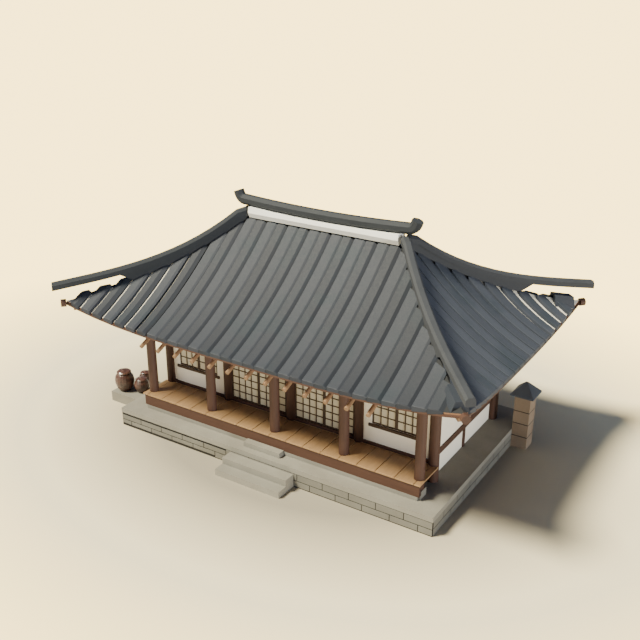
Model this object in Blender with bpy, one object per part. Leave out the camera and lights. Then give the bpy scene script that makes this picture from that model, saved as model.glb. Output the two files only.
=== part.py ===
import math

import bpy
import bmesh
from mathutils import Vector

# Driving dimensions in metres. The front faces -Y and X runs along it.
GAP = 0.0003
BAY = 2.4
COLUMN_XS = [BAY * k for k in (-2, -1, 0, 1, 2)]
FRONT_COLUMN_Y = -2.66
WALL_COLUMN_Y = -1.78
REAR_COLUMN_Y = 2.5
FRONT_COLUMN_RADIUS = 0.15
WALL_COLUMN_RADIUS = 0.16
COLUMN_SIDES = 20

PLATFORM_X = 5.61
PLATFORM_Y = 3.41
PLATFORM_TOP = 0.617
CAPSTONE_HEIGHT = 0.16
BASE_SETBACK = 0.01

STEP_HALF_WIDTH = 1.15
STEP_FRONT_Y = -4.15
STEP_TREAD = 0.36
STEP_RISE = PLATFORM_TOP / 3

STEPPING_STONE = ((-0.79, -3.19), (0.51, -2.96), 0.16)

FOOTING_TOP = 0.86
FOOTING_HALF = 0.155
DECK_TOP = 1.154
DECK_THICKNESS = 0.045
DECK_FRONT_Y = -2.99
DECK_X = 4.99
DECK_BEAM_BOTTOM = 0.745
DECK_BEAM_WIDTH = 0.12
DECK_BEAM_SETBACK = 0.04
DECK_BEAM_BEARING = 0.04

FRONT_WALL_FACE = -1.82
WALL_THICKNESS = 0.22
REAR_WALL_FACE = 2.54
SIDE_WALL_FACE = 4.74
FLOOR_FRONT_Y = -1.86
SILL_TOP = 1.26
HEADER_BOTTOM = 3.04
HEADER_TOP = 3.2
BEAM_BOTTOM = 3.55

WINDOW_CENTRE_X = 3.6
WINDOW_WIDTH = 1.56
WINDOW_BOTTOM = 1.86
WINDOW_DEPTH = 0.05
WINDOW_SILL_HEIGHT = 0.09
WINDOW_SILL_LENGTH = 1.74

RAIL_BOTTOM = 1.23
RAIL_TOP = 1.42
TRIM_THICKNESS = 0.04
SIDE_POST_Y = 0.37
SIDE_POST_WIDTH = 0.13

DOOR_CLEARANCE = 0.006
DOOR_MEETING_GAP = 0.008
DOOR_THICKNESS = 0.045
DOOR_STILE = 0.055
DOOR_PANEL_INSET = 0.015
HINGE_PIN_RADIUS = 0.016

RAFTER_PITCH = 0.65
RAFTER_RADIUS = 0.065
RAFTER_SIDES = 8
RAFTER_TIP_Y = 4.0
RAFTER_SEAT_Z = 3.505
RAFTER_SLOPE = 0.4
RAFTER_INNER_Y = 1.5
SIDE_RAFTER_SETBACK = 0.37
FRONT_RAFTER_COUNT = 13
SIDE_RAFTER_COUNT = 7
HIP_RAFTER_HALF = 0.08
HIP_RAFTER_DEPTH = 0.13
HIP_RAFTER_DROP = 0.038
HIP_RAFTER_TS = (0.43, 0.445, 0.46, 0.475, 0.49, 0.51, 0.6, 0.75, 0.968)
BEAM_WIDTH = 0.16

RIDGE_X = 2.7
EAVE_X = 6.62
EAVE_Y = 4.27
EAVE_Z = 3.905
FRONT_BOW = 0.22
SIDE_BOW = 0.2
ROOF_RISE = 2.8
ROOF_SAG = 1.16
CORNER_RISE = 0.53
CREASE_POWER = 1.37
FRONT_RISE_POWER = 3.6
SIDE_RISE_POWER = 3.0
BOW_POWER = 3.0
EAVE_EDGE = 0.08
UPPER_TIER_T = 0.42
ATTIC_TOP_Z = 6.03
ROOF_STATIONS = 14
ROOF_COLUMNS = 16

EAVE_BOARD_THICKNESS = 0.05
EAVE_BOARD_HEIGHT = 0.05
EAVE_BOARD_DROP = 0.04
KNOB_RADIUS = 0.12
KNOB_LENGTH = 0.16

RIDGE_BASE_END = 2.62
RIDGE_BASE_HALF = 0.22
RIDGE_BASE_FOOT = 0.15
RIDGE_BASE_KNEE_Z = 6.86
CAP_MIDDLE_Z = 7.128
CAP_RADIUS = 0.173
CAP_SAG = 0.075
CAP_TURN_X = 2.88
CAP_TURN_RADIUS = 0.22
CAP_TURN_DEGREES = 70
CAP_STUB = 0.12

HIP_START_T = 0.0215
HIP_START_Z = 7.0
HIP_END_T = 1.066
HIP_HALF = 0.13
HIP_HEIGHT = 0.22
HIP_NECK_HALF = 0.07
HIP_NECK_END_T = 0.68
HIP_END_Z = 5.05

CHIMNEY_X = (PLATFORM_X + GAP, 6.11)
CHIMNEY_Y = (2.16, 2.66)
CHIMNEY_TOP = 1.8
CHIMNEY_CAP_HALF = 0.37
CHIMNEY_CAP_EDGE = 0.05
CHIMNEY_CAP_TOP = 2.2

JAR_STAND_X = -7.107
JAR_STAND_Y = (-2.383, -0.95)
JAR_STAND_TOP = 0.351
JARS = {
    "large_jar": (-6.80, -2.02, 0.33, 0.77),
    "middle_jar": (-6.20, -1.82, 0.26, 0.53),
    "small_jar": (-6.52, -1.30, 0.22, 0.48),
}

COLOURS = {
    "stone": ((0.52, 0.49, 0.43), 0.85),
    "deck_wood": ((0.38, 0.21, 0.09), 0.6),
    "column_wood": ((0.16, 0.07, 0.035), 0.6),
    "dark_wood": ((0.07, 0.04, 0.02), 0.6),
    "pale_wood": ((0.45, 0.28, 0.14), 0.7),
    "plaster": ((0.72, 0.68, 0.60), 0.9),
    "paper": ((0.75, 0.68, 0.52), 0.9),
    "roof_tile": ((0.11, 0.12, 0.13), 0.7),
    "ridge_tile": ((0.06, 0.06, 0.065), 0.7),
    "ridge_plaster": ((0.82, 0.80, 0.74), 0.85),
    "brick": ((0.42, 0.27, 0.15), 0.85),
    "jar_glaze": ((0.10, 0.035, 0.025), 0.35),
}


def clear_scene():
    for item in list(bpy.data.objects):
        bpy.data.objects.remove(item)


def finish_colour(name):
    material = bpy.data.materials.get(name)
    if material is None:
        colour, roughness = COLOURS[name]
        material = bpy.data.materials.new(name)
        material.use_nodes = True
        shader = material.node_tree.nodes["Principled BSDF"]
        shader.inputs["Base Color"].default_value = (*colour, 1.0)
        shader.inputs["Roughness"].default_value = roughness
        shader.inputs["Metallic"].default_value = 0.0
    return material


def solid(name, vertices, faces, colour):
    mesh = bpy.data.meshes.new(name)
    mesh.from_pydata([tuple(v) for v in vertices], [], faces)
    work = bmesh.new()
    work.from_mesh(mesh)
    bmesh.ops.recalc_face_normals(work, faces=work.faces)
    work.to_mesh(mesh)
    work.free()
    mesh.materials.append(finish_colour(colour))
    body = bpy.data.objects.new(name, mesh)
    bpy.context.collection.objects.link(body)
    return body


def loft(name, sections, colour, closed=False):
    """Skin a row of sections that have the same number of points."""
    size = len(sections[0])
    vertices = [p for section in sections for p in section]
    faces = []
    count = len(sections)
    for i in range(count if closed else count - 1):
        a = i * size
        b = ((i + 1) % count) * size
        for j in range(size):
            k = (j + 1) % size
            faces.append((a + j, a + k, b + k, b + j))
    if not closed:
        faces.append(tuple(range(size)))
        faces.append(tuple((count - 1) * size + j for j in reversed(range(size))))
    return solid(name, vertices, faces, colour)


def box(name, low, high, colour):
    outline = [(low[0], low[1]), (high[0], low[1]), (high[0], high[1]), (low[0], high[1])]
    return loft(name, [[(x, y, z) for x, y in outline] for z in (low[2], high[2])], colour)


def ring(centre, radius, sides, z, turn=0.0):
    angles = [turn + 2 * math.pi * k / sides for k in range(sides)]
    return [(centre[0] + radius * math.cos(a), centre[1] + radius * math.sin(a), z) for a in angles]


def post(name, centre, radius, bottom, top, colour, sides=COLUMN_SIDES):
    body = loft(name, [ring(centre, radius, sides, z) for z in (bottom, top)], colour)
    shade_round(body)
    return body


def shade_round(body):
    body.data.shade_smooth()
    body.data.set_sharp_from_angle(angle=math.radians(35))


def apply_boolean(body, other, operation):
    change = body.modifiers.new(operation.lower(), "BOOLEAN")
    change.operation = operation
    change.solver = "EXACT"
    change.object = other
    bpy.context.view_layer.objects.active = body
    bpy.ops.object.modifier_apply(modifier=change.name)
    bpy.data.objects.remove(other)


def unite(body, others):
    for other in others:
        apply_boolean(body, other, "UNION")
    return body


def cut(body, cutters):
    for cutter in cutters:
        apply_boolean(body, cutter, "DIFFERENCE")
    return body


def column_cutters(y, radius, bottom, top):
    return [post("cutter", (x, y), radius + GAP, bottom, top, "dark_wood") for x in COLUMN_XS]


# Ground works: platform, steps and stones

def make_platform():
    base_top = PLATFORM_TOP - CAPSTONE_HEIGHT
    base_x = PLATFORM_X - BASE_SETBACK
    base_y = PLATFORM_Y - BASE_SETBACK
    box("platform_base", (-base_x, -base_y, 0), (base_x, base_y, base_top), "stone")
    slab_bottom = base_top + GAP
    slab = box("platform_capstones", (-PLATFORM_X, -PLATFORM_Y, slab_bottom),
               (PLATFORM_X, PLATFORM_Y, PLATFORM_TOP), "stone")
    beam_back = DECK_FRONT_Y + DECK_BEAM_SETBACK + DECK_BEAM_WIDTH
    half = FOOTING_HALF
    bottom = PLATFORM_TOP - 0.02
    for x in COLUMN_XS:
        footing = box("footing", (x - half, FRONT_COLUMN_Y - half, bottom),
                      (x + half, FRONT_COLUMN_Y + half, FOOTING_TOP - GAP), "stone")
        bearing = box("bearing", (x - half, beam_back - DECK_BEAM_BEARING, bottom),
                      (x + half, FRONT_COLUMN_Y, DECK_BEAM_BOTTOM - GAP), "stone")
        unite(slab, [footing, bearing])


def make_steps():
    back = -(PLATFORM_Y - BASE_SETBACK) - GAP
    box("lower_step", (-STEP_HALF_WIDTH, STEP_FRONT_Y, 0), (STEP_HALF_WIDTH, back, STEP_RISE), "stone")
    box("upper_step", (-STEP_HALF_WIDTH, STEP_FRONT_Y + STEP_TREAD, STEP_RISE + GAP),
        (STEP_HALF_WIDTH, back, 2 * STEP_RISE), "stone")
    (x0, y0), (x1, y1), height = STEPPING_STONE
    box("stepping_stone", (x0, y0, PLATFORM_TOP + GAP), (x1, y1, PLATFORM_TOP + height), "stone")


# Floors: heated floor mass inside, plank deck of the veranda outside

def make_floors():
    floor_x = SIDE_WALL_FACE - WALL_THICKNESS - GAP
    floor_back = REAR_WALL_FACE - WALL_THICKNESS - GAP
    floor = box("room_floor", (-floor_x, FLOOR_FRONT_Y, PLATFORM_TOP + GAP),
                (floor_x, floor_back, DECK_TOP), "stone")
    cut(floor, column_cutters(WALL_COLUMN_Y, WALL_COLUMN_RADIUS, 0.4, 1.5))
    deck_bottom = DECK_TOP - DECK_THICKNESS
    deck = box("veranda_deck", (-DECK_X, DECK_FRONT_Y, deck_bottom),
               (DECK_X, FLOOR_FRONT_Y - GAP, DECK_TOP), "deck_wood")
    cut(deck, column_cutters(WALL_COLUMN_Y, WALL_COLUMN_RADIUS, 0.4, 1.5))
    cut(deck, column_cutters(FRONT_COLUMN_Y, FRONT_COLUMN_RADIUS, 0.4, 1.5))
    end = DECK_X - DECK_BEAM_SETBACK
    front = DECK_FRONT_Y + DECK_BEAM_SETBACK
    box("veranda_beam", (-end, front, DECK_BEAM_BOTTOM),
        (end, front + DECK_BEAM_WIDTH, deck_bottom - GAP), "column_wood")


# Timber frame

def make_columns():
    for number, x in enumerate(COLUMN_XS, start=1):
        post(f"front_column_{number}", (x, FRONT_COLUMN_Y), FRONT_COLUMN_RADIUS,
             FOOTING_TOP, BEAM_BOTTOM - GAP, "column_wood")


def wall_columns(y, radius):
    bottom = PLATFORM_TOP + GAP
    return [post("column", (x, y), radius, bottom, BEAM_BOTTOM - GAP, "column_wood") for x in COLUMN_XS]


def hinge_xs():
    """Hinge axis and swing side (+1 opens from the left jamb) of each door leaf."""
    jamb = WALL_COLUMN_RADIUS + DOOR_CLEARANCE
    axes = []
    for centre in (-BAY / 2, BAY / 2):
        axes.append((centre - BAY / 2 + jamb, 1))
        axes.append((centre + BAY / 2 - jamb, -1))
    return axes


def make_front_frame():
    end = SIDE_WALL_FACE
    sill_front = FRONT_WALL_FACE - 0.03
    sill_back = FRONT_WALL_FACE + WALL_THICKNESS
    frame = box("front_wall_frame", (-end, sill_front, DECK_TOP + GAP),
                (end, sill_back, SILL_TOP), "column_wood")
    header = box("header", (-end, sill_front, HEADER_BOTTOM), (end, sill_back, HEADER_TOP), "column_wood")
    pin_top = SILL_TOP + DOOR_CLEARANCE - GAP
    pins = [post("pin", (x, FRONT_WALL_FACE), HINGE_PIN_RADIUS,
                 SILL_TOP - 0.02, pin_top, "dark_wood", 12) for x, side in hinge_xs()]
    unite(frame, [header] + wall_columns(WALL_COLUMN_Y, WALL_COLUMN_RADIUS) + pins)
    shade_round(frame)


def make_rear_frame():
    end = BAY * 2
    low_y = REAR_WALL_FACE - 0.02
    frame = box("rear_wall_frame", (-end, low_y, RAIL_BOTTOM), (end, low_y + 0.06, RAIL_TOP), "column_wood")
    header = box("header", (-end, low_y, HEADER_BOTTOM), (end, low_y + 0.06, HEADER_TOP), "column_wood")
    unite(frame, [header] + wall_columns(REAR_COLUMN_Y, WALL_COLUMN_RADIUS))
    shade_round(frame)


def make_side_trims():
    low_y = WALL_COLUMN_Y + WALL_COLUMN_RADIUS + GAP
    high_y = REAR_COLUMN_Y - WALL_COLUMN_RADIUS - GAP
    for name, side in (("left_wall_rails", -1), ("right_wall_rails", 1)):
        near, far = sorted((side * (SIDE_WALL_FACE + GAP), side * (SIDE_WALL_FACE + TRIM_THICKNESS)))
        rail = box(name, (near, low_y, RAIL_BOTTOM), (far, high_y, RAIL_TOP), "column_wood")
        half = SIDE_POST_WIDTH / 2
        upright = box("upright", (near, SIDE_POST_Y - half, PLATFORM_TOP + GAP),
                      (far, SIDE_POST_Y + half, BEAM_BOTTOM - GAP), "column_wood")
        top_rail = box("top_rail", (near, low_y, HEADER_BOTTOM), (far, high_y, HEADER_TOP), "column_wood")
        unite(rail, [upright, top_rail])


# Walls with their window holes

def window_cutter(x, y):
    half = WINDOW_WIDTH / 2
    return box("cutter", (x - half, y - 0.4, WINDOW_BOTTOM), (x + half, y + 0.4, HEADER_BOTTOM - 0.06), "plaster")


def make_front_walls():
    back = FRONT_WALL_FACE + WALL_THICKNESS
    wall_end = SIDE_WALL_FACE - WALL_THICKNESS - GAP
    for name, side in (("front_wall_left", -1), ("front_wall_right", 1)):
        low_x, high_x = sorted((side * BAY, side * wall_end))
        wall = box(name, (low_x, FRONT_WALL_FACE, SILL_TOP + GAP),
                   (high_x, back, HEADER_BOTTOM - GAP), "plaster")
        cut(wall, column_cutters(WALL_COLUMN_Y, WALL_COLUMN_RADIUS, 1.0, 3.4))
        cut(wall, [window_cutter(side * WINDOW_CENTRE_X, FRONT_WALL_FACE)])
    upper = box("front_wall_above_doors", (-wall_end, FRONT_WALL_FACE, HEADER_TOP + GAP),
                (wall_end, back, BEAM_BOTTOM - GAP), "plaster")
    cut(upper, column_cutters(WALL_COLUMN_Y, WALL_COLUMN_RADIUS, 3.0, 4.0))


def make_outer_walls():
    bottom = PLATFORM_TOP + GAP
    top = BEAM_BOTTOM - GAP
    for name, side in (("left_wall", -1), ("right_wall", 1)):
        low_x, high_x = sorted((side * (SIDE_WALL_FACE - WALL_THICKNESS), side * SIDE_WALL_FACE))
        wall = box(name, (low_x, FRONT_WALL_FACE + 0.02, bottom), (high_x, REAR_WALL_FACE - WALL_THICKNESS, top),
                   "plaster")
        for y in (WALL_COLUMN_Y, REAR_COLUMN_Y):
            x = side * BAY * 2
            cut(wall, [post("cutter", (x, y), WALL_COLUMN_RADIUS + GAP, 0.3, 4.0, "plaster")])
        sill_cut = box("cutter", (-BAY * 2 - GAP, FRONT_WALL_FACE - 0.04, DECK_TOP),
                       (BAY * 2 + GAP, FRONT_WALL_FACE + WALL_THICKNESS + GAP, SILL_TOP + GAP), "plaster")
        header_cut = box("cutter", (-BAY * 2 - GAP, FRONT_WALL_FACE - 0.04, HEADER_BOTTOM - GAP),
                         (BAY * 2 + GAP, FRONT_WALL_FACE + WALL_THICKNESS + GAP, HEADER_TOP + GAP), "plaster")
        cut(wall, [sill_cut, header_cut])
    rear_inner = REAR_WALL_FACE - WALL_THICKNESS + GAP
    wall = box("rear_wall", (-SIDE_WALL_FACE, rear_inner, bottom),
               (SIDE_WALL_FACE, REAR_WALL_FACE - 0.02 - GAP, top), "plaster")
    cut(wall, column_cutters(REAR_COLUMN_Y, WALL_COLUMN_RADIUS, 0.3, 4.0))
    for side in (-1, 1):
        cut(wall, [window_cutter(side * WINDOW_CENTRE_X, REAR_WALL_FACE)])


def framed_panel(name, low, high, frame_width, inset, colour):
    """A flat panel in a raised frame, front and back, as one closed body."""
    body = box(name, low, high, colour)
    work = bmesh.new()
    work.from_mesh(body.data)
    wide = [f for f in work.faces if abs(f.normal.y) > 0.9]
    for face in wide:
        bmesh.ops.inset_individual(work, faces=[face], thickness=frame_width, depth=-inset)
    work.to_mesh(body.data)
    work.free()
    return body


def make_windows():
    half = WINDOW_WIDTH / 2 - GAP
    low_z = WINDOW_BOTTOM + GAP
    high_z = HEADER_BOTTOM - 0.06 - GAP
    rows = (("front_window", FRONT_WALL_FACE + 0.02), ("rear_window", REAR_WALL_FACE - 0.03 - WINDOW_DEPTH))
    for name, y in rows:
        for word, side in (("left", -1), ("right", 1)):
            x = side * WINDOW_CENTRE_X
            framed_panel(f"{name}_{word}", (x - half, y, low_z), (x + half, y + WINDOW_DEPTH, high_z),
                         DOOR_STILE, DOOR_PANEL_INSET, "paper")
    for word, side in (("left", -1), ("right", 1)):
        x = side * WINDOW_CENTRE_X
        reach = WINDOW_SILL_LENGTH / 2
        box(f"front_window_sill_{word}", (x - reach, FRONT_WALL_FACE - 0.04, WINDOW_BOTTOM - WINDOW_SILL_HEIGHT),
            (x + reach, FRONT_WALL_FACE - GAP, WINDOW_BOTTOM), "dark_wood")


def make_doors():
    bottom = SILL_TOP + DOOR_CLEARANCE
    top = HEADER_BOTTOM - DOOR_CLEARANCE
    width = BAY / 2 - WALL_COLUMN_RADIUS - DOOR_CLEARANCE - DOOR_MEETING_GAP / 2
    names = ("left_door_outer", "left_door_inner", "right_door_inner", "right_door_outer")
    for name, (x, side) in zip(names, hinge_xs()):
        low_x, high_x = sorted((0.0, side * width))
        leaf = framed_panel(name, (low_x, 0.0, bottom), (high_x, DOOR_THICKNESS, top),
                            DOOR_STILE, DOOR_PANEL_INSET, "paper")
        leaf.location = (x, FRONT_WALL_FACE, 0.0)


# Rafters on their purlins, with the hip rafters on the side purlins

def rafter(start, end, radius=RAFTER_RADIUS, sides=RAFTER_SIDES):
    start = Vector(start)
    end = Vector(end)
    along = (end - start).normalized()
    across = Vector((0, 0, 1)).cross(along).normalized()
    upward = along.cross(across)
    sections = []
    for centre in (start, end):
        section = []
        for k in range(sides):
            angle = 2 * math.pi * (k + 0.5) / sides
            section.append(centre + radius * (math.cos(angle) * across + math.sin(angle) * upward))
        sections.append(section)
    return loft("rafter", sections, "pale_wood")


def rafter_axis_z(slope):
    """Height of a rafter's axis at its tip, so that its flat top meets the roof."""
    half_depth = RAFTER_RADIUS * math.cos(math.pi / RAFTER_SIDES)
    return RAFTER_SEAT_Z - GAP - half_depth / math.cos(math.atan(slope))


def rafter_top(t):
    """Height of the plane that the roof rests on, from eave (1) to ridge (0)."""
    lower = RAFTER_SEAT_Z + RAFTER_SLOPE * (RAFTER_TIP_Y - EAVE_Y * max(t, UPPER_TIER_T))
    if t < UPPER_TIER_T:
        lower += (ATTIC_TOP_Z - lower) * (UPPER_TIER_T - t) / UPPER_TIER_T
    return lower


def make_front_and_rear_rafters():
    count = FRONT_RAFTER_COUNT // 2
    rise = RAFTER_SLOPE * (RAFTER_TIP_Y - RAFTER_INNER_Y)
    end = BAY * 2
    for name, sign, line in (("front_rafters", -1, FRONT_COLUMN_Y), ("rear_rafters", 1, REAR_COLUMN_Y)):
        tip_z = rafter_axis_z(RAFTER_SLOPE)
        axis_z = tip_z + RAFTER_SLOPE * (RAFTER_TIP_Y - abs(line))
        top = axis_z - RAFTER_RADIUS * 0.4
        beam = box(name, (-end, line - BEAM_WIDTH / 2, BEAM_BOTTOM), (end, line + BEAM_WIDTH / 2, top), "pale_wood")
        sticks = []
        for k in range(-count, count + 1):
            x = k * RAFTER_PITCH
            sticks.append(rafter((x, sign * RAFTER_TIP_Y, tip_z),
                                 (x, sign * RAFTER_INNER_Y, tip_z + rise)))
        unite(beam, sticks)


def hip_point(t):
    return Vector((RIDGE_X + (EAVE_X - RIDGE_X) * t, EAVE_Y * t, 0))


def make_side_rafters():
    count = SIDE_RAFTER_COUNT // 2
    run = (EAVE_X - RIDGE_X) / EAVE_Y
    slope = RAFTER_SLOPE / run
    tip_x = EAVE_X - (EAVE_Y - RAFTER_TIP_Y) * run - SIDE_RAFTER_SETBACK
    line = BAY * 2
    low_y = FRONT_COLUMN_Y + BEAM_WIDTH / 2 + GAP
    high_y = REAR_COLUMN_Y - BEAM_WIDTH / 2 - GAP
    for name, side in (("left_rafters", -1), ("right_rafters", 1)):
        tip_z = rafter_axis_z(slope) + slope * SIDE_RAFTER_SETBACK
        axis_z = tip_z + slope * (tip_x - line)
        low_x, high_x = sorted((side * (line - BEAM_WIDTH / 2), side * (line + BEAM_WIDTH / 2)))
        beam = box(name, (low_x, low_y, BEAM_BOTTOM), (high_x, high_y, axis_z - RAFTER_RADIUS * 0.4), "pale_wood")
        sticks = []
        for k in range(-count, count + 1):
            y = k * RAFTER_PITCH
            inner_x = max(line - 0.3, hip_point(abs(y) / EAVE_Y).x + 0.12)
            sticks.append(rafter((side * tip_x, y, tip_z),
                                 (side * inner_x, y, tip_z + slope * (tip_x - inner_x))))
        for sign in (-1, 1):
            sticks.append(hip_rafter(side, sign))
        unite(beam, sticks)


def hip_rafter_top(t):
    """Clear of both slopes at the rafter's edges, which lie a little inside the hip line."""
    inset = HIP_RAFTER_HALF * 1.85
    front = roof_underside(t, 1 - inset / hip_point(t).x, "front")
    side = roof_underside(t, 1 - inset / hip_point(t).y, "side")
    return min(front, side) - HIP_RAFTER_DROP


def hip_rafter(side, sign):
    along = (hip_point(1) - hip_point(0)).normalized()
    across = Vector((-along.y, along.x, 0))
    half = HIP_RAFTER_HALF
    sections = []
    for t in HIP_RAFTER_TS:
        centre = hip_point(t)
        top = hip_rafter_top(t)
        bottom = top - HIP_RAFTER_DEPTH
        section = []
        for offset, z in ((-half, bottom), (half, bottom), (half, top), (-half, top)):
            p = centre + across * offset
            section.append((side * p.x, sign * p.y, z))
        sections.append(section)
    return loft("hip_rafter", sections, "column_wood")


# Roof form: z from place along the slope (t, 0 ridge to 1 eave) and across it (q, -1 to 1)

def roof_middle(t):
    s = 1 - t
    return EAVE_Z + (ROOF_RISE - ROOF_SAG) * s + ROOF_SAG * s * s


def crease(t):
    return roof_middle(t) + CORNER_RISE * max(t, 0.0) ** CREASE_POWER


def roof_height(t, q, kind):
    power = FRONT_RISE_POWER if kind == "front" else SIDE_RISE_POWER
    return roof_middle(t) + (crease(t) - roof_middle(t)) * abs(q) ** power


def bow(t, q, kind):
    """How far the eave curves inwards between its corners, in plan."""
    depth = FRONT_BOW if kind == "front" else SIDE_BOW
    return depth * t * (1 - abs(q) ** BOW_POWER)


def roof_underside(t, q, kind):
    run = EAVE_Y if kind == "front" else EAVE_X - RIDGE_X
    seat = rafter_top(t - bow(t, q, kind) / run)
    return max(seat, roof_height(1.0, q, kind) - EAVE_EDGE)


def eave_fractions():
    half_count = ROOF_COLUMNS // 2
    return [math.sin(math.pi / 2 * k / half_count) for k in range(-half_count, half_count + 1)]


def roof_stations(first):
    return [first] + [k / ROOF_STATIONS for k in range(1, ROOF_STATIONS + 1)]


def built_crease(t):
    """Height of the hip line as built, straight between two stations."""
    k = min(int(t * ROOF_STATIONS + 1e-9), ROOF_STATIONS - 1)
    share = t * ROOF_STATIONS - k
    return crease(k / ROOF_STATIONS) * (1 - share) + crease((k + 1) / ROOF_STATIONS) * share


def make_roof_slope(name, kind, sign):
    qs = eave_fractions()
    ts = roof_stations(0.0 if kind == "front" else 0.02)
    top, under = [], []
    for t in ts:
        hip = hip_point(t)
        for q in qs:
            if kind == "front":
                x = q * (hip.x - GAP)
                y = sign * max(hip.y - bow(t, q, kind), GAP)
            else:
                x = sign * (hip.x - bow(t, q, kind))
                y = q * (hip.y - GAP)
            top.append((x, y, roof_height(t, q, kind)))
            under.append((x, y, roof_underside(t, q, kind)))
    columns = len(qs)
    rows = len(ts)
    shift = len(top)
    faces = []
    for i in range(rows - 1):
        for j in range(columns - 1):
            a = i * columns + j
            quad = (a, a + 1, a + 1 + columns, a + columns)
            faces.append(quad)
            faces.append(tuple(shift + v for v in reversed(quad)))
    rim = list(range(columns))
    rim += [i * columns + columns - 1 for i in range(1, rows)]
    rim += [(rows - 1) * columns + j for j in range(columns - 2, -1, -1)]
    rim += [i * columns for i in range(rows - 2, 0, -1)]
    for a, b in zip(rim, rim[1:] + rim[:1]):
        faces.append((a, b, shift + b, shift + a))
    body = solid(name, top + under, faces, "roof_tile")
    work = bmesh.new()
    work.from_mesh(body.data)
    bmesh.ops.triangulate(work, faces=work.faces)
    work.to_mesh(body.data)
    work.free()
    shade_round(body)


def make_roof():
    make_roof_slope("front_roof_slope", "front", -1)
    make_roof_slope("rear_roof_slope", "front", 1)
    make_roof_slope("left_roof_slope", "side", -1)
    make_roof_slope("right_roof_slope", "side", 1)


def eave_point(side, q, offset):
    """Plan of an eave point: side 0 is the front, 1 the right, 2 the rear and 3 the left."""
    x = EAVE_X + offset
    y = EAVE_Y + offset
    if side % 2 == 0:
        across = q * x
        out = y - bow(1, q, "front")
        return (across, -out) if side == 0 else (-across, out)
    across = q * y
    out = x - bow(1, q, "side")
    return (out, across) if side == 1 else (-out, -across)


def make_eave_boards():
    """A ring of boards round the eaves, with a round knob at each corner."""
    sections = []
    for side in range(4):
        kind = "front" if side % 2 == 0 else "side"
        for q in eave_fractions()[:-1]:
            top = roof_height(1, q, kind) - EAVE_BOARD_DROP
            bottom = top - EAVE_BOARD_HEIGHT
            inner = eave_point(side, q, GAP)
            outer = eave_point(side, q, GAP + EAVE_BOARD_THICKNESS)
            sections.append([(*inner, bottom), (*outer, bottom), (*outer, top), (*inner, top)])
    board = loft("eave_boards", sections, "column_wood", closed=True)
    knob_z = crease(1.0) - EAVE_BOARD_DROP - EAVE_BOARD_HEIGHT / 2
    along = (hip_point(1) - hip_point(0)).normalized()
    for side in (-1, 1):
        for sign in (-1, 1):
            start = Vector((side * (EAVE_X + 0.012), sign * (EAVE_Y + 0.012), knob_z))
            reach = Vector((side * along.x, sign * along.y, 0)) * KNOB_LENGTH
            unite(board, [knob(start, start + reach)])


def knob(start, end):
    return rafter(start, end, KNOB_RADIUS, 12)


# Ridge and hips

def cap_z(x):
    return CAP_MIDDLE_Z + CAP_SAG * (x / RIDGE_BASE_END) ** 2


def ridge_stations():
    return [RIDGE_BASE_END * math.sin(math.pi / 2 * k / 10) for k in range(-10, 11)]


def cap_path():
    """Centre and direction of the cap's right half beyond the base: an upward turn, then a short stub."""
    z = cap_z(CAP_TURN_X)
    start = math.atan(2 * CAP_SAG * CAP_TURN_X / RIDGE_BASE_END ** 2)
    end = math.radians(CAP_TURN_DEGREES)
    path = []
    for k in range(7):
        angle = start + (end - start) * k / 6
        path.append((CAP_TURN_X + CAP_TURN_RADIUS * (math.sin(angle) - math.sin(start)),
                     z + CAP_TURN_RADIUS * (math.cos(start) - math.cos(angle)), angle))
    x, z, angle = path[-1]
    path.append((x + CAP_STUB * math.cos(angle), z + CAP_STUB * math.sin(angle), angle))
    return path


def cap_section(x, z, angle):
    """Octagon square to the cap's path."""
    section = []
    for k in range(8):
        turn = math.pi * (k + 0.5) / 4
        up = CAP_RADIUS * math.sin(turn)
        section.append((x - up * math.sin(angle), CAP_RADIUS * math.cos(turn), z + up * math.cos(angle)))
    return section


def make_ridge():
    apothem = CAP_RADIUS * math.cos(math.pi / 8)
    sections = []
    foot = roof_middle(0) + GAP
    for x in ridge_stations():
        rows = ((RIDGE_BASE_FOOT, foot), (RIDGE_BASE_HALF, RIDGE_BASE_KNEE_Z),
                (RIDGE_BASE_HALF - 0.02, cap_z(x) - apothem - GAP))
        front = [(x, -y, z) for y, z in rows]
        back = [(x, y, z) for y, z in reversed(rows)]
        sections.append(front + back)
    loft("ridge_base", sections, "ridge_plaster")
    middle = [cap_section(x, cap_z(x), 0.0) for x in ridge_stations()]
    right = [cap_section(*place) for place in cap_path()]
    left = [[(-x, y, z) for x, y, z in section] for section in reversed(right)]
    loft("ridge_cap", left + middle + right, "ridge_tile")


def hip_top(t):
    r = HIP_END_T - t
    return min(HIP_END_Z + 0.847 * r - 0.231 * r ** 2 + 1.285 * r ** 3, HIP_START_Z)


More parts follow.
